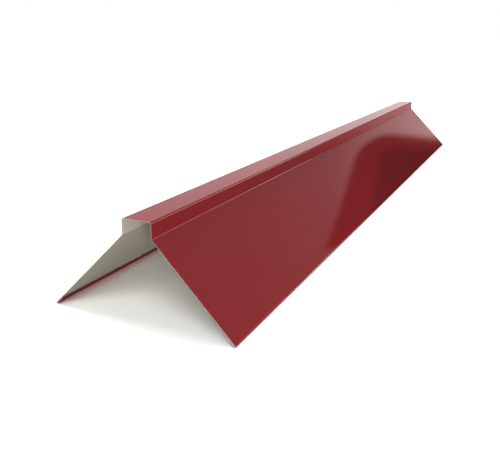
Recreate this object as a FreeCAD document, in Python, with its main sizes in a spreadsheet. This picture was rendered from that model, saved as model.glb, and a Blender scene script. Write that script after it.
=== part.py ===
"""Roof ridge cap: one length of coated steel sheet, folded in a brake.

Section, from one eave side to the other: hem, sloping flange, upright wall, flat crest,
upright wall, sloping flange, hem. The cap stands on the folds of its two hems.

Frame, in millimetres: X across the ridge, Y along it, +Z up. The origin is at the middle
of the length and width, on the level that the hem folds stand on.
"""
import FreeCAD
import Part
import math
import os
import Sketcher

NODE = "ridge_cap"

DIMENSIONS = {
    "cap_length": 1500.0,       # along the ridge
    "crest_width": 40.0,        # outside, wall to wall
    "crest_height": 20.0,       # outside, crest top down to the corner of wall and flange
    "flange_width": 150.0,      # down the slope, that corner to the tip of the hem fold
    "flange_slope": 45.0,       # degrees below the horizontal
    "sheet_thickness": 0.5,     # steel with both coats
    "bend_radius": 1.5,         # inside radius of the four bends
    "hem_width": 15.0,          # tip of the fold to the sheet's edge
    "hem_gap": 1.6,             # clear gap between flange and hem, at the fold
    "hem_lean": 4.5,            # degrees by which the hem closes towards the flange
}


def add_dimensions(doc):
    """The driving sizes, one row each, with the alias that the features read."""
    sheet = doc.addObject("Spreadsheet::Sheet", "dims")
    for row, (alias, value) in enumerate(DIMENSIONS.items(), start=1):
        sheet.set(f"A{row}", alias)
        sheet.set(f"B{row}", str(value))
        sheet.setAlias(f"B{row}", alias)
    doc.recompute()
    return sheet


def origin_plane(body, role):
    """The body's own origin plane of that role."""
    return next(f for f in body.Origin.OriginFeatures if f.Role == role)


def half_outline():
    """Corners and arc centres of the half section at its nominal sizes, as (x, z) vectors."""
    d = DIMENSIONS
    slope = math.radians(d["flange_slope"])
    thick, inner = d["sheet_thickness"], d["bend_radius"]
    outer = inner + thick
    fold_inner = d["hem_gap"] / 2
    fold_outer = fold_inner + thick
    along = FreeCAD.Vector(math.cos(slope), -math.sin(slope), 0)
    out = FreeCAD.Vector(math.sin(slope), math.cos(slope), 0)
    folded = math.radians(d["flange_slope"] + d["hem_lean"])
    back = FreeCAD.Vector(-math.cos(folded), math.sin(folded), 0)
    under = FreeCAD.Vector(-math.sin(folded), -math.cos(folded), 0)
    half_turn = (math.pi / 2 - slope) / 2
    wall = d["crest_width"] / 2
    flat = d["flange_width"] - fold_outer
    corner = FreeCAD.Vector(wall, 0, 0)
    fold = corner + along * flat - out * fold_outer
    corner.y = fold_outer - fold.y
    fold = corner + along * flat - out * fold_outer
    top = corner.y + d["crest_height"]
    set_back = inner * math.tan(half_turn)
    foot = FreeCAD.Vector(wall + inner, corner.y + set_back, 0)
    crest = FreeCAD.Vector(wall - outer, top - outer, 0)
    hem_end = fold + under * fold_outer + back * (d["hem_width"] - fold_outer)
    return {
        "corner": corner, "fold": fold, "foot": foot, "crest": crest,
        "out": out, "under": under, "top": top, "wall": wall, "hem_end": hem_end,
        "thick": thick, "inner": inner, "outer": outer,
        "fold_inner": fold_inner, "fold_outer": fold_outer,
    }


def arc(centre, radius, start, end):
    """Arc from start to end, angles in degrees, counter-clockwise."""
    circle = Part.Circle(centre, FreeCAD.Vector(0, 0, 1), radius)
    return Part.ArcOfCircle(circle, math.radians(start), math.radians(end))


def draw_half_section(sketch):
    """The sheet's section right of the middle, fully constrained to the driving sizes."""
    o = half_outline()
    point = FreeCAD.Vector
    slope = DIMENSIONS["flange_slope"]
    flange_out = o["fold"] + o["out"] * o["fold_outer"]
    flange_in = o["fold"] + o["out"] * o["fold_inner"]
    hem_in = o["fold"] + o["under"] * o["fold_inner"]
    hem_out = o["fold"] + o["under"] * o["fold_outer"]
    hem_end_in = o["hem_end"] - o["under"] * o["thick"]
    fold_start = -90 - slope - DIMENSIONS["hem_lean"]
    foot_out = o["foot"] - o["out"] * o["inner"]
    foot_in = o["foot"] - o["out"] * o["outer"]

    shapes = {
        "crest_out": Part.LineSegment(point(0, o["top"], 0), point(o["crest"].x, o["top"], 0)),
        "crest_bend_out": arc(o["crest"], o["outer"], 0, 90),
        "wall_out": Part.LineSegment(
            point(o["wall"], o["crest"].y, 0), point(o["wall"], o["foot"].y, 0)),
        "foot_bend_out": arc(o["foot"], o["inner"], 180, 270 - slope),
        "flange_out": Part.LineSegment(foot_out, flange_out),
        "fold_out": arc(o["fold"], o["fold_outer"], fold_start, 90 - slope),
        "hem_out": Part.LineSegment(hem_out, o["hem_end"]),
        "hem_edge": Part.LineSegment(o["hem_end"], hem_end_in),
        "hem_in": Part.LineSegment(hem_end_in, hem_in),
        "fold_in": arc(o["fold"], o["fold_inner"], fold_start, 90 - slope),
        "flange_in": Part.LineSegment(flange_in, foot_in),
        "foot_bend_in": arc(o["foot"], o["outer"], 180, 270 - slope),
        "wall_in": Part.LineSegment(
            point(o["wall"] - o["thick"], o["foot"].y, 0),
            point(o["wall"] - o["thick"], o["crest"].y, 0)),
        "crest_bend_in": arc(o["crest"], o["inner"], 0, 90),
        "crest_in": Part.LineSegment(
            point(o["crest"].x, o["top"] - o["thick"], 0), point(0, o["top"] - o["thick"], 0)),
        "middle": Part.LineSegment(point(0, o["top"] - o["thick"], 0), point(0, o["top"], 0)),
    }
    geo = {name: sketch.addGeometry(shape, False) for name, shape in shapes.items()}
    geo["corner"] = sketch.addGeometry(Part.Point(o["corner"]), True)
    constrain_half_section(sketch, geo)


def constrain_half_section(sketch, geo):
    """Tangent bends, concentric inner and outer arcs, and the sizes from the sheet of dimensions."""
    start, end, centre, x_axis, y_axis = 1, 2, 3, -1, -2

    def add(kind, *refs):
        return sketch.addConstraint(Sketcher.Constraint(kind, *refs))

    def join(kind, first, first_point, second, second_point):
        add(kind, geo[first], first_point, geo[second], second_point)

    def size(name, kind, value, expression, *refs):
        index = add(kind, *refs, value)
        sketch.renameConstraint(index, name)
        sketch.setExpression(f".Constraints.{name}", expression)

    # The outline runs round the section, each bend tangent to its two flats.
    join("Tangent", "crest_out", end, "crest_bend_out", end)
    join("Tangent", "crest_bend_out", start, "wall_out", start)
    join("Tangent", "wall_out", end, "foot_bend_out", start)
    join("Tangent", "foot_bend_out", end, "flange_out", start)
    join("Tangent", "flange_out", end, "fold_out", end)
    join("Tangent", "fold_out", start, "hem_out", start)
    join("Coincident", "hem_out", end, "hem_edge", start)
    join("Coincident", "hem_edge", end, "hem_in", start)
    join("Tangent", "hem_in", end, "fold_in", start)
    join("Tangent", "fold_in", end, "flange_in", start)
    join("Tangent", "flange_in", end, "foot_bend_in", end)
    join("Tangent", "foot_bend_in", start, "wall_in", start)
    join("Tangent", "wall_in", end, "crest_bend_in", start)
    join("Tangent", "crest_bend_in", end, "crest_in", start)
    join("Coincident", "crest_in", end, "middle", start)
    join("Coincident", "middle", end, "crest_out", start)

    # Both faces of a bend share one centre, so that the sheet keeps its thickness.
    for outside, inside in (("crest_bend_out", "crest_bend_in"), ("foot_bend_out", "foot_bend_in"),
                            ("fold_out", "fold_in")):
        join("Coincident", outside, centre, inside, centre)

    add("Horizontal", geo["crest_out"])
    add("Vertical", geo["wall_out"])
    add("PointOnObject", geo["middle"], start, y_axis)
    add("PointOnObject", geo["middle"], end, y_axis)
    add("Perpendicular", geo["hem_edge"], geo["hem_out"])
    add("Parallel", geo["hem_in"], geo["hem_out"])
    add("Horizontal", geo["crest_in"])
    add("PointOnObject", geo["corner"], start, geo["wall_out"])
    add("PointOnObject", geo["corner"], start, geo["flange_out"])

    o = half_outline()
    flat = DIMENSIONS["flange_width"] - o["fold_outer"]
    hem_flat = DIMENSIONS["hem_width"] - o["fold_outer"]
    folded = math.radians(DIMENSIONS["flange_slope"] + DIMENSIONS["hem_lean"])
    fold_outer = "dims.hem_gap / 2 + dims.sheet_thickness"
    outer = "dims.bend_radius + dims.sheet_thickness"
    size("half_crest", "DistanceX", o["wall"], "dims.crest_width / 2",
         x_axis, start, geo["corner"], start)
    size("wall_height", "DistanceY", DIMENSIONS["crest_height"], "dims.crest_height",
         geo["corner"], start, geo["crest_out"], end)
    size("slope", "Angle", math.radians(-DIMENSIONS["flange_slope"]),
         "-dims.flange_slope * 1deg", geo["flange_out"])
    size("flange_flat", "Distance", flat, f"dims.flange_width - ({fold_outer})",
         geo["corner"], start, geo["flange_out"], end)
    size("hem_direction", "Angle", math.pi - folded,
         "180deg - (dims.flange_slope + dims.hem_lean) * 1deg", geo["hem_out"])
    size("hem_flat", "Distance", hem_flat, f"dims.hem_width - ({fold_outer})",
         geo["hem_out"], start, geo["hem_out"], end)
    size("crest_bend_outer", "Radius", o["outer"], outer, geo["crest_bend_out"])
    size("crest_bend_inner", "Radius", o["inner"], "dims.bend_radius", geo["crest_bend_in"])
    size("foot_bend_outer", "Radius", o["outer"], outer, geo["foot_bend_in"])
    size("foot_bend_inner", "Radius", o["inner"], "dims.bend_radius", geo["foot_bend_out"])
    size("fold_outer", "Radius", o["fold_outer"], fold_outer, geo["fold_out"])
    size("fold_inner", "Radius", o["fold_inner"], "dims.hem_gap / 2", geo["fold_in"])
    size("stands_on_fold", "DistanceY", o["fold_outer"], fold_outer,
         x_axis, start, geo["fold_out"], centre)


def build_cap(doc):
    """Half the cap padded along the ridge both ways from the middle, then mirrored across it."""
    body = doc.addObject("PartDesign::Body", NODE)
    body.Label = NODE

    section = body.newObject("Sketcher::SketchObject", "half_section")
    section.AttachmentSupport = [(origin_plane(body, "XZ_Plane"), "")]
    section.MapMode = "FlatFace"
    draw_half_section(section)

    half = body.newObject("PartDesign::Pad", "half_cap")
    half.Profile = section
    half.SideType = "Symmetric"
    half.setExpression("Length", "dims.cap_length")
    doc.recompute()

    whole = body.newObject("PartDesign::Mirrored", "whole_cap")
    whole.Originals = [half]
    whole.MirrorPlane = (origin_plane(body, "YZ_Plane"), [""])
    body.Tip = whole
    doc.recompute()
    return body


def check(doc, body):
    """Stops on a failed feature, an open sketch or a broken solid."""
    for item in doc.Objects:
        if {"Invalid", "Error"} & set(item.State):
            raise RuntimeError(f"{item.Label} failed: {item.State}")
    if not doc.getObject("half_section").FullyConstrained:
        raise RuntimeError("half_section has free sizes")
    shape = body.Shape
    if shape.isNull() or not shape.isValid() or len(shape.Solids) != 1:
        raise RuntimeError(f"{body.Label} is not one valid solid")


def main():
    doc = FreeCAD.newDocument("ridge_cap")
    add_dimensions(doc)
    body = build_cap(doc)
    check(doc, body)
    os.makedirs("parts", exist_ok=True)
    body.Shape.exportStep(os.path.join("parts", f"{body.Label}.step"))
    box = body.Shape.BoundBox
    print(f"{body.Label}: {box.XLength:.2f} x {box.YLength:.2f} x {box.ZLength:.2f} mm,",
          f"{body.Shape.Volume / 1000:.2f} cm3, {len(body.Shape.Faces)} faces,",
          f"lowest point at z = {box.ZMin:.4f}")


main()
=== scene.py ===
"""Roof ridge cap of coated steel sheet: its finish, the studio round it and the camera."""
import math

import bpy
from mathutils import Matrix, Vector, noise


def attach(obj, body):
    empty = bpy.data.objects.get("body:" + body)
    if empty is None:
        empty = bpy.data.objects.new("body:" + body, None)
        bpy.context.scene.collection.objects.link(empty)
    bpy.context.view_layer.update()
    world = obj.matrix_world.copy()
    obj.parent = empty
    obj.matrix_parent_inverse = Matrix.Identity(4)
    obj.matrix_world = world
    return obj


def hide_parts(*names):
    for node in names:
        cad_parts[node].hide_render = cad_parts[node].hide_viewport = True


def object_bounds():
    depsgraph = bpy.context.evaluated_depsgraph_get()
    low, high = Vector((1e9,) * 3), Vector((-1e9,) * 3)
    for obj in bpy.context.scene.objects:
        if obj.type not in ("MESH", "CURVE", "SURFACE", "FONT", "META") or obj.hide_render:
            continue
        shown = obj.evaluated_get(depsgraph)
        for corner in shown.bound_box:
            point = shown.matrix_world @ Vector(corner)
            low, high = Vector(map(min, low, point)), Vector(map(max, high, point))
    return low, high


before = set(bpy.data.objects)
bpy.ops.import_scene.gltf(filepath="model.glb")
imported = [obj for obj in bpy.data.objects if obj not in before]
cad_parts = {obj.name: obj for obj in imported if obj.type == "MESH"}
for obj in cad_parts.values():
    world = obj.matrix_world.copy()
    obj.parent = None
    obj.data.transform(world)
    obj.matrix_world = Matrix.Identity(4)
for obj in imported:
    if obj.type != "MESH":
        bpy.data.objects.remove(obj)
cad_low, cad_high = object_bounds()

MM = 0.001

# Section of the sheet, in metres, as the CAD part has it.
CREST_WIDTH = 40 * MM
CREST_HEIGHT = 20 * MM
FLANGE_WIDTH = 150 * MM
FLANGE_SLOPE = math.radians(45)
SHEET = 0.5 * MM
BEND_RADIUS = 1.5 * MM
HEM_WIDTH = 15 * MM
HEM_GAP = 1.6 * MM
HEM_LEAN = math.radians(4.5)
LENGTH = cad_high[1] - cad_low[1]

# How finely the mesh is divided.
FOLD_STEPS = 16
BEND_STEPS = 10
CREST_STEPS = 4
WALL_STEPS = 4
FLANGE_STEPS = 14
HEM_STEPS = 3
STATION = 10 * MM
GUARD = 0.6 * MM

# Oil canning of the flat faces: its depth, the share of it on each face, and its waves per
# metre. The last value keeps the two halves apart in the noise.
OIL_CAN = 0.20 * MM
CREST_SWAY = 0.3
FLANGE_SWAY = 1.0
WAVES_ACROSS = 6.0
WAVES_ALONG = 2.6
WAVES_BY_SIDE = 3.0

# Order of the sheet's materials.
TOP_COAT, BACK_COAT, CUT_EDGE = 0, 1, 2

# The camera, fitted to the cap's edges in the photograph, whose frame is 500 x 450 pixels.
IMAGE_WIDTH = 500
IMAGE_HEIGHT = 450
FOCAL_PX = 622.4
CENTRE_PX = (216.1, 218.6)
CAMERA_AT = Vector((0.38475, -1.30065, 0.32602))
CAMERA_YAW = math.radians(-27.29)
CAMERA_PITCH = math.radians(16.42)
CAMERA_ROLL = math.radians(0.32)
SENSOR_MM = 36.0
CAMERA_REACH = 200

# Linear colours.
RED = (0.235, 0.0215, 0.0245, 1)
SHEEN_TINT = (1.0, 0.12, 0.14, 1)
BEIGE = (0.60, 0.565, 0.45, 1)
ZINC = (0.70, 0.52, 0.48, 1)
PANEL_RED = (0.22, 0.03, 0.035, 1)
CORE_DARK = (0.07, 0.015, 0.018, 1)
STRIP_LIGHT = (2.8, 3.8, 3.8, 1)
WINDOW_DARK = (0.10, 0.04, 0.04, 1)

# Range of a noise texture that spread() brings to another range.
NOISE_LOW, NOISE_HIGH = 0.3, 0.7

# The studio's values below were tuned by comparing the render with the photograph.

# Floor: grey levels, and distances in metres.
FLOOR_LEVEL = 0.38
FLOOR_GAIN = 1.12
FLOOR_LIFT = 0.02
FLOOR_HALF = 30.0
FLOOR_FADE = 1.25
FLOOR_FADE_WIDTH = 0.3

# Painted reflection of the floor: the light it gives off to the gloss only, in rows of (distance from the
# middle, grey level, red on top of it).
PAINTED_FLOOR_REFLECTION_REACH = 5.0
PAINTED_FLOOR_REFLECTION = ((0.45, 0.10, 0.22), (0.575, 0.10, 0.36), (0.8, 0.16, 0.40), (1.15, 0.30, 0.38),
               (1.75, 0.44, 0.38), (3.0, 0.80, 0.3), (4.5, 1.05, 0.2))
# Painted shadow of the cap in the floor's gloss image: the strip under the cap, and its nearly black grey
# level.
PAINTED_SHADOW_UNDER_CAP = dict(edge=0.13, softness=0.02)
PAINTED_SHADOW_LEVEL = 0.02

# The walls in the gloss. Angles are in degrees: heights above the horizon, and bearings from
# +Y towards +X. A wall's rows are (height, grey level, red on top of it).
AMBIENT = 0.32
ZENITH = 90.0
LEFT_WALL = ((0, 1.0, 0.1), (5.5, 0.98, 0.1), (7.5, 0.85, 0.08), (10, 0.75, 0.07),
             (16.5, 0.71, 0.06), (21, 0.15, 0.02), (45, 0.1, 0.0))
RIGHT_WALL = ((0, 1.08, 0.18), (5.5, 1.02, 0.18), (9, 0.70, 0.17), (12, 0.54, 0.15),
              (16, 0.31, 0.09), (20, 0.29, 0.08), (26, 0.27, 0.0), (60, 0.25, 0.0))
RIGHT_SIDE = dict(start=-2, start_softness=9, end=80, end_softness=30)
WINDOW = dict(start=-14, start_softness=2, end=3, end_softness=2)
WINDOW_SILL = dict(edge=9.3, softness=0.8)
STRIP = dict(start=21, start_softness=1.5, end=50, end_softness=10)
STRIP_TOP = dict(edge=13, softness=3)
PANEL = dict(west=8.5, east=19.5, top=13.9, corner=2.6, softness=0.4, tilt=0.18)
PANEL_CORE = dict(west=9.55, east=19.0, top=12.3, corner=1.5, softness=0.5, tilt=0.0)


# Section

def direction(angle):
    return Vector((math.cos(angle), math.sin(angle)))


def half_path():
    """Right half of the sheet from the crest's middle to the hem's edge.

    Each entry is (point on the outer face, unit normal out of it, share of oil canning).
    """
    outer = BEND_RADIUS + SHEET
    fold_out = HEM_GAP / 2 + SHEET
    down = direction(-FLANGE_SLOPE)
    up = direction(math.pi / 2 - FLANGE_SLOPE)
    lean = (math.pi / 2 - FLANGE_SLOPE) / 2
    wall = CREST_WIDTH / 2

    flat = FLANGE_WIDTH - fold_out
    corner_z = fold_out + flat * math.sin(FLANGE_SLOPE) + fold_out * math.cos(FLANGE_SLOPE)
    corner = Vector((wall, corner_z))
    fold = corner + down * flat - up * fold_out
    foot = Vector((wall + BEND_RADIUS, corner_z + BEND_RADIUS * math.tan(lean)))
    top = corner_z + CREST_HEIGHT
    crest = Vector((wall - outer, top - outer))

    path = []

    def straight(start, end, normal, steps, sway=0.0):
        """Flat stretch with a guard line close to each end, which keeps the bends' shading out."""
        run = end - start
        length = run.length
        marks = [0.0, GUARD / length]
        marks += [i / steps for i in range(1, steps)]
        marks += [1 - GUARD / length, 1.0]
        for mark in marks:
            path.append((start + run * mark, normal, sway * math.sin(math.pi * mark) ** 2))

    def bend(centre, radius, first, last, steps, side):
        """Bend between two flats; side is 1 where the outer face is outside the curve."""
        for i in range(1, steps):
            normal = direction(first + (last - first) * i / steps)
            path.append((centre + normal * radius * side, normal, 0.0))

    quarter = math.pi / 2
    slope_normal = quarter - FLANGE_SLOPE
    straight(Vector((0, top)), Vector((crest.x, top)), direction(quarter),
             CREST_STEPS, CREST_SWAY)
    bend(crest, outer, quarter, 0, BEND_STEPS, 1)
    straight(Vector((wall, crest.y)), Vector((wall, foot.y)), direction(0), WALL_STEPS)
    bend(foot, BEND_RADIUS, 0, slope_normal, BEND_STEPS, -1)
    straight(foot - up * BEND_RADIUS, fold + up * fold_out, up, FLANGE_STEPS, FLANGE_SWAY)
    bend(fold, fold_out, slope_normal, slope_normal - math.pi - HEM_LEAN, FOLD_STEPS, 1)
    under = direction(slope_normal - math.pi - HEM_LEAN)
    back = direction(math.pi - FLANGE_SLOPE - HEM_LEAN)
    hem = fold + under * fold_out
    straight(hem, hem + back * (HEM_WIDTH - fold_out), under, HEM_STEPS)
    return path


def full_path():
    """Both halves, from the left hem's edge over the crest to the right one's."""
    right = half_path()
    left = [(Vector((-p.x, p.y)), Vector((-n.x, n.y)), -sway) for p, n, sway in right[:0:-1]]
    return left + right


# Mesh

def stray(x, y, sway):
    """Slow oil canning of a flat face, in metres along its normal, always into the sheet."""
    if not sway:
        return 0.0
    side = math.copysign(WAVES_BY_SIDE, sway)
    wave = noise.noise(Vector((x * WAVES_ACROSS, y * WAVES_ALONG, side)))
    return OIL_CAN * abs(sway) * (wave - 1) / 2


def ridge_mesh():
    """The sheet as one closed skin: its section at each station, and the cut edges between."""
    path = full_path()
    stations = round(LENGTH / STATION)
    ys = [cad_low[1] + LENGTH * i / stations for i in range(stations + 1)]
    count = len(path)
    verts = []
    for y in ys:
        for point, normal, sway in path:
            lift = stray(point.x, y, sway)
            for depth in (0.0, SHEET):
                spot = point + normal * (lift - depth)
                verts.append((spot.x, y, spot.y))

    def at(station, index, inner):
        return (station * count + index) * 2 + inner

    faces, slots = [], []
    for s in range(stations):
        for i in range(count - 1):
            faces.append((at(s, i, 0), at(s, i + 1, 0), at(s + 1, i + 1, 0), at(s + 1, i, 0)))
            slots.append(TOP_COAT)
            faces.append((at(s, i, 1), at(s + 1, i, 1), at(s + 1, i + 1, 1), at(s, i + 1, 1)))
            slots.append(BACK_COAT)
        faces.append((at(s, 0, 0), at(s + 1, 0, 0), at(s + 1, 0, 1), at(s, 0, 1)))
        last = count - 1
        faces.append((at(s, last, 0), at(s, last, 1), at(s + 1, last, 1), at(s + 1, last, 0)))
        slots += [CUT_EDGE, CUT_EDGE]
    end = stations
    for i in range(count - 1):
        faces.append((at(0, i, 0), at(0, i, 1), at(0, i + 1, 1), at(0, i + 1, 0)))
        faces.append((at(end, i, 0), at(end, i + 1, 0), at(end, i + 1, 1), at(end, i, 1)))
        slots += [CUT_EDGE, CUT_EDGE]

    mesh = bpy.data.meshes.new("ridge_cap_sheet")
    mesh.from_pydata(verts, [], faces)
    mesh.polygons.foreach_set("material_index", slots)
    mesh.polygons.foreach_set("use_smooth", [True] * len(faces))
    mesh.validate()
    mesh.update()
    mark_sharp(mesh)
    return mesh


def mark_sharp(mesh):
    """An edge between two finishes is a sharp corner of the sheet."""
    first = {}
    sharp = [False] * len(mesh.edges)
    edge_at = {edge.key: edge.index for edge in mesh.edges}
    for face in mesh.polygons:
        for key in face.edge_keys:
            slot = first.setdefault(key, face.material_index)
            if slot != face.material_index:
                sharp[edge_at[key]] = True
    mesh.edges.foreach_set("use_edge_sharp", sharp)


# Materials

def new_material(name):
    material = bpy.data.materials.new(name)
    material.use_nodes = True
    tree = material.node_tree
    shader = tree.nodes["Principled BSDF"]
    return material, tree, shader


def noise_of(tree, coords, scale, detail, stretch=(1, 1, 1)):
    """Noise in metres of the object's own space, stretched along an axis."""
    mapping = tree.nodes.new("ShaderNodeMapping")
    mapping.inputs["Scale"].default_value = stretch
    tree.links.new(coords, mapping.inputs["Vector"])
    made = tree.nodes.new("ShaderNodeTexNoise")
    made.inputs["Scale"].default_value = scale
    made.inputs["Detail"].default_value = detail
    tree.links.new(mapping.outputs["Vector"], made.inputs["Vector"])
    return made.outputs["Fac"]


def spread(tree, value, low, high):
    """A noise value brought to a range."""
    made = tree.nodes.new("ShaderNodeMapRange")
    made.inputs["From Min"].default_value = NOISE_LOW
    made.inputs["From Max"].default_value = NOISE_HIGH
    made.inputs["To Min"].default_value = low
    made.inputs["To Max"].default_value = high
    tree.links.new(value, made.inputs["Value"])
    return made.outputs["Result"]


def tinted(tree, value, dark, light):
    """Colour between two tones."""
    made = tree.nodes.new("ShaderNodeMix")
    made.data_type = "RGBA"
    made.inputs["A"].default_value = dark
    made.inputs["B"].default_value = light
    tree.links.new(value, made.inputs["Factor"])
    return made.outputs["Result"]


def shade(color, share):
    return (color[0] * share, color[1] * share, color[2] * share, 1)


def grey(level):
    return (level, level, level, 1)


def bump(tree, height, distance, strength):
    made = tree.nodes.new("ShaderNodeBump")
    made.inputs["Strength"].default_value = strength
    made.inputs["Distance"].default_value = distance
    tree.links.new(height, made.inputs["Height"])
    return made.outputs["Normal"]


def top_coat():
    """Glossy brown-red polyester coat with faint orange peel."""
    material, tree, shader = new_material("red_top_coat")
    coords = tree.nodes.new("ShaderNodeTexCoord").outputs["Object"]
    tone = spread(tree, noise_of(tree, coords, scale=14, detail=3, stretch=(1, 0.3, 1)), 0, 1)
    color = tinted(tree, tone, dark=shade(RED, 0.97), light=shade(RED, 1.03))
    tree.links.new(color, shader.inputs["Base Color"])
    cloud = spread(tree, noise_of(tree, coords, scale=30, detail=4), low=0.035, high=0.045)
    tree.links.new(cloud, shader.inputs["Roughness"])
    shader.inputs["IOR"].default_value = 1.8
    shader.inputs["Specular IOR Level"].default_value = 1.0
    shader.inputs["Specular Tint"].default_value = SHEEN_TINT
    peel = noise_of(tree, coords, scale=35, detail=1)
    tree.links.new(bump(tree, peel, distance=0.003 * MM, strength=1.0), shader.inputs["Normal"])
    return material


def back_coat():
    """Thin matt beige-grey primer, with the faint streaks of its roller along the strip."""
    material, tree, shader = new_material("beige_back_coat")
    coords = tree.nodes.new("ShaderNodeTexCoord").outputs["Object"]
    streak = spread(tree, noise_of(tree, coords, scale=220, detail=3, stretch=(1, 0.02, 1)), 0, 1)
    color = tinted(tree, streak, dark=shade(BEIGE, 0.94), light=shade(BEIGE, 1.04))
    tree.links.new(color, shader.inputs["Base Color"])
    cloud = spread(tree, noise_of(tree, coords, scale=60, detail=4), low=0.5, high=0.62)
    tree.links.new(cloud, shader.inputs["Roughness"])
    grain = noise_of(tree, coords, scale=1400, detail=2)
    tree.links.new(bump(tree, grain, distance=0.03 * MM, strength=0.3), shader.inputs["Normal"])
    return material


def cut_edge():
    """Bare zinc and steel of the sheared edge, slightly mottled."""
    material, tree, shader = new_material("sheared_edge")
    coords = tree.nodes.new("ShaderNodeTexCoord").outputs["Object"]
    mottle = spread(tree, noise_of(tree, coords, scale=900, detail=3), 0, 1)
    color = tinted(tree, mottle, dark=shade(ZINC, 0.9), light=ZINC)
    tree.links.new(color, shader.inputs["Base Color"])
    tree.links.new(spread(tree, mottle, low=0.35, high=0.5), shader.inputs["Roughness"])
    shader.inputs["Metallic"].default_value = 0.3
    return material


def ridge_cap():
    mesh = ridge_mesh()
    for material in (top_coat(), back_coat(), cut_edge()):
        mesh.materials.append(material)
    piece = bpy.data.objects.new("ridge_cap_sheet", mesh)
    bpy.context.scene.collection.objects.link(piece)
    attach(piece, "root")
    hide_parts("ridge_cap")


# Studio

def ramp(tree, value, stops):
    """Ramp through stops of (position, grey level, red on top of it)."""
    made = tree.nodes.new("ShaderNodeValToRGB")
    elements = made.color_ramp.elements
    while len(elements) < len(stops):
        elements.new(0.5)
    for element, (position, level, blush) in zip(elements, stops):
        element.position = position
        element.color = (level + blush, level, level, 1)
    tree.links.new(value, made.inputs["Fac"])
    return made.outputs["Color"]


def math_node(tree, operation, first, second=None):
    """Math on one or two values, each a number or a socket."""
    made = tree.nodes.new("ShaderNodeMath")
    made.operation = operation
    for socket, value in zip(made.inputs, (first, second)):
        if value is None:
            continue
        if isinstance(value, (int, float)):
            socket.default_value = value
        else:
            tree.links.new(value, socket)
    return made.outputs["Value"]


def soft_step(tree, value, edge, softness):
    """0 below the edge and 1 above it, with a soft change."""
    made = tree.nodes.new("ShaderNodeMapRange")
    made.interpolation_type = "SMOOTHSTEP"
    made.inputs["From Min"].default_value = edge - softness
    made.inputs["From Max"].default_value = edge + softness
    tree.links.new(value, made.inputs["Value"])
    return made.outputs["Result"]


def flipped(tree, value):
    return math_node(tree, "SUBTRACT", 1.0, value)


def stretch_of(tree, value, start, start_softness, end, end_softness):
    """1 from the start to the end, with soft sides."""
    return math_node(tree, "MULTIPLY", soft_step(tree, value, start, start_softness),
                     flipped(tree, soft_step(tree, value, end, end_softness)))


def mixed(tree, factor, first, second):
    """Blend of two colours, each a constant or a socket."""
    made = tree.nodes.new("ShaderNodeMix")
    made.data_type = "RGBA"
    for socket, value in ((made.inputs["A"], first), (made.inputs["B"], second)):
        if isinstance(value, tuple):
            socket.default_value = value
        else:
            tree.links.new(value, socket)
    tree.links.new(factor, made.inputs["Factor"])
    return made.outputs["Result"]


def ray_is(tree, *kinds):
    """1 on rays of those kinds."""
    path = tree.nodes.new("ShaderNodeLightPath")
    total = path.outputs[kinds[0]]
    for kind in kinds[1:]:
        total = math_node(tree, "MAXIMUM", total, path.outputs[kind])
    return total


def in_panel(tree, bearing, lifted, west, east, top, corner, softness, tilt):
    """1 inside a panel that stands on the horizon, its upper left corner round, its top tilted."""
    rise = math_node(tree, "MULTIPLY", math_node(tree, "SUBTRACT", bearing, west), tilt)
    level = math_node(tree, "SUBTRACT", lifted, rise)
    from_west = math_node(tree, "MAXIMUM", math_node(tree, "SUBTRACT", west + corner, bearing), 0.0)
    from_top = math_node(tree, "MAXIMUM", math_node(tree, "SUBTRACT", level, top - corner), 0.0)
    squares = [math_node(tree, "POWER", side, 2.0) for side in (from_west, from_top)]
    reach = math_node(tree, "SQRT", math_node(tree, "ADD", *squares))
    outside = math_node(tree, "MAXIMUM", soft_step(tree, reach, corner, softness),
                        soft_step(tree, bearing, east, softness))
    return flipped(tree, outside)


def studio_walls(tree):
    """What the gloss shows: pale walls that darken upwards, each side in its own way.

    A dark window hangs in the left one. On the right stands a bright strip, and before it a red
    panel with a dark core.
    """
    ray = tree.nodes.new("ShaderNodeTexCoord").outputs["Generated"]
    parts = tree.nodes.new("ShaderNodeSeparateXYZ")
    tree.links.new(ray, parts.inputs["Vector"])
    x, y, height = parts.outputs
    to_degrees = math.degrees(1)
    bearing = math_node(tree, "MULTIPLY", math_node(tree, "ARCTAN2", x, y), to_degrees)
    lifted = math_node(tree, "MULTIPLY", math_node(tree, "ARCSINE", height), to_degrees)
    share = math_node(tree, "DIVIDE", lifted, ZENITH)

    def wall(rows):
        return ramp(tree, share, [(degrees / ZENITH, level, blush) for degrees, level, blush in rows])

    walls = mixed(tree, stretch_of(tree, bearing, **RIGHT_SIDE), wall(LEFT_WALL), wall(RIGHT_WALL))
    window = math_node(tree, "MULTIPLY", stretch_of(tree, bearing, **WINDOW),
                       soft_step(tree, lifted, **WINDOW_SILL))
    walls = mixed(tree, window, walls, WINDOW_DARK)
    strip = math_node(tree, "MULTIPLY", stretch_of(tree, bearing, **STRIP),
                      flipped(tree, soft_step(tree, lifted, **STRIP_TOP)))
    walls = mixed(tree, strip, walls, STRIP_LIGHT)
    walls = mixed(tree, in_panel(tree, bearing, lifted, **PANEL), walls, PANEL_RED)
    return mixed(tree, in_panel(tree, bearing, lifted, **PANEL_CORE), walls, CORE_DARK)


def make_world():
    """White to the camera, the studio's walls to the gloss, and plain grey to other rays."""
    world = bpy.data.worlds.new("studio")
    bpy.context.scene.world = world
    world.use_nodes = True
    tree = world.node_tree
    back = tree.nodes["Background"]
    shown = mixed(tree, ray_is(tree, "Is Glossy Ray", "Is Transmission Ray"),
                  grey(AMBIENT), studio_walls(tree))
    shown = mixed(tree, ray_is(tree, "Is Camera Ray"), shown, grey(1))
    tree.links.new(shown, back.inputs["Color"])


def emission(tree, color):
    made = tree.nodes.new("ShaderNodeEmission")
    if isinstance(color, tuple):
        made.inputs["Color"].default_value = color
    else:
        tree.links.new(color, made.inputs["Color"])
    return made.outputs["Emission"]


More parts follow.
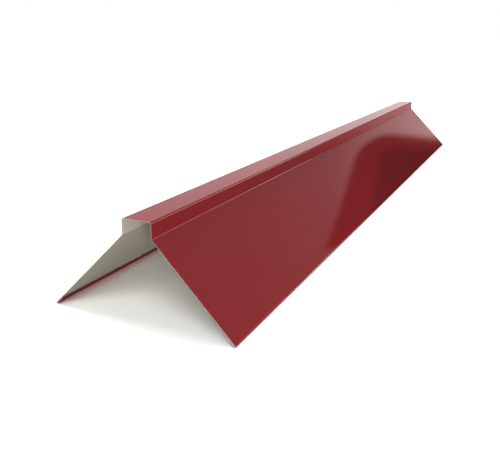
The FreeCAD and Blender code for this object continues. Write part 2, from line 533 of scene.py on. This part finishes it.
def joined(tree, kind, *shaders):
    """A mix or a sum of two shaders; a mix has its factor first."""
    made = tree.nodes.new(kind)
    for socket, shader in zip(made.inputs, shaders):
        tree.links.new(shader, socket)
    return made.outputs["Shader"]


def floor_surface(tree, shader, radius):
    """The floor outside the gloss: evenly brighter to the camera, and white to it far out."""
    camera = ray_is(tree, "Is Camera Ray")
    far = soft_step(tree, radius, FLOOR_FADE, FLOOR_FADE_WIDTH)
    lift = emission(tree, mixed(tree, far, grey(FLOOR_LIFT), grey(1)))
    lift = joined(tree, "ShaderNodeMixShader", camera, emission(tree, grey(0)), lift)
    gain = tree.nodes.new("ShaderNodeBsdfDiffuse")
    tree.links.new(mixed(tree, camera, grey(0), grey(FLOOR_GAIN)), gain.inputs["Color"])
    brighter = joined(tree, "ShaderNodeAddShader", shader.outputs["BSDF"], gain.outputs["BSDF"])
    return joined(tree, "ShaderNodeAddShader", brighter, lift)


def painted_floor_reflection_image(tree, place, radius):
    """Painted reflection: the floor glows for the gloss, pale far out, dark and red near the cap, with a
    painted shadow, nearly black, under it.
    """
    # Painted reflection: emission seen by glossy rays, darker and redder towards the cap.
    reach = math_node(tree, "DIVIDE", radius, PAINTED_FLOOR_REFLECTION_REACH)
    level = ramp(tree, reach, [(metres / PAINTED_FLOOR_REFLECTION_REACH, tone, blush)
                               for metres, tone, blush in PAINTED_FLOOR_REFLECTION])
    axes = tree.nodes.new("ShaderNodeSeparateXYZ")
    tree.links.new(place, axes.inputs["Vector"])
    # Painted shadow: the floor under the cap is nearly black to the gloss, pale beside it.
    outside_painted_shadow = soft_step(tree, math_node(tree, "ABSOLUTE", axes.outputs["X"]), **PAINTED_SHADOW_UNDER_CAP)
    return emission(tree, mixed(tree, outside_painted_shadow, grey(PAINTED_SHADOW_LEVEL), level))


def make_floor():
    """Pale floor that keeps the cap's shadow; the gloss shows a painted reflection image of it instead,
    with a painted shadow under the cap.
    """
    bpy.ops.mesh.primitive_plane_add(size=2 * FLOOR_HALF)
    floor = bpy.context.object
    floor.name = "floor"
    material, tree, shader = new_material("white_floor")
    shader.inputs["Base Color"].default_value = grey(FLOOR_LEVEL)
    shader.inputs["Roughness"].default_value = 0.9
    shader.inputs["Specular IOR Level"].default_value = 0.0

    place = tree.nodes.new("ShaderNodeTexCoord").outputs["Object"]
    away = tree.nodes.new("ShaderNodeVectorMath")
    away.operation = "LENGTH"
    tree.links.new(place, away.inputs[0])
    radius = away.outputs["Value"]
    shown = joined(tree, "ShaderNodeMixShader", ray_is(tree, "Is Glossy Ray", "Is Transmission Ray"),
                   floor_surface(tree, shader, radius), painted_floor_reflection_image(tree, place, radius))
    tree.links.new(shown, tree.nodes["Material Output"].inputs["Surface"])
    floor.data.materials.append(material)


def softbox(name, at, aim, size, watts):
    """Rectangular lamp that neither the camera nor the gloss sees."""
    data = bpy.data.lights.new(name, "AREA")
    data.shape = "RECTANGLE"
    data.size, data.size_y = size
    data.energy = watts
    lamp = bpy.data.objects.new(name, data)
    lamp.location = at
    lamp.rotation_euler = (Vector(aim) - Vector(at)).to_track_quat("-Z", "Y").to_euler()
    lamp.visible_glossy = False
    lamp.visible_camera = False
    bpy.context.scene.collection.objects.link(lamp)


def make_lights():
    """Three lamps round the cap, and two weak ones under it that face its ends."""
    softbox("top_left", at=(-1.6, 0.2, 2.6), aim=(0, 0, 0), size=(2.4, 3.0), watts=66)
    softbox("key_front", at=(0.5, -1.9, 1.5), aim=(0, -0.6, 0.05), size=(0.9, 0.7), watts=12)
    softbox("side_low", at=(1.5, -2.6, 0.16), aim=(0, -0.7, 0.08), size=(1.0, 0.26), watts=40)
    for side in (-1, 1):
        softbox("tunnel", at=(0, 0.25 * side, 0.012), aim=(0, side, 0.06), size=(0.15, 0.015), watts=0.16)


def make_camera():
    data = bpy.data.cameras.new("camera")
    camera = bpy.data.objects.new("camera", data)
    bpy.context.scene.collection.objects.link(camera)
    bpy.context.scene.camera = camera
    ahead = Vector((math.sin(CAMERA_YAW) * math.cos(CAMERA_PITCH),
                    math.cos(CAMERA_YAW) * math.cos(CAMERA_PITCH), -math.sin(CAMERA_PITCH)))
    level = Vector((math.cos(CAMERA_YAW), -math.sin(CAMERA_YAW), 0))
    upright = level.cross(ahead)
    right = math.cos(CAMERA_ROLL) * level + math.sin(CAMERA_ROLL) * upright
    up = right.cross(ahead)
    turn = Matrix((right, up, -ahead)).transposed()
    camera.matrix_world = Matrix.Translation(CAMERA_AT) @ turn.to_4x4()
    data.sensor_width = SENSOR_MM
    data.lens = FOCAL_PX * SENSOR_MM / IMAGE_WIDTH
    data.shift_x = (IMAGE_WIDTH / 2 - CENTRE_PX[0]) / IMAGE_WIDTH
    data.shift_y = (CENTRE_PX[1] - IMAGE_HEIGHT / 2) / IMAGE_WIDTH
    data.clip_end = CAMERA_REACH


ridge_cap()
make_floor()
make_world()
make_lights()
make_camera()
bpy.context.scene.view_settings.view_transform = "Standard"
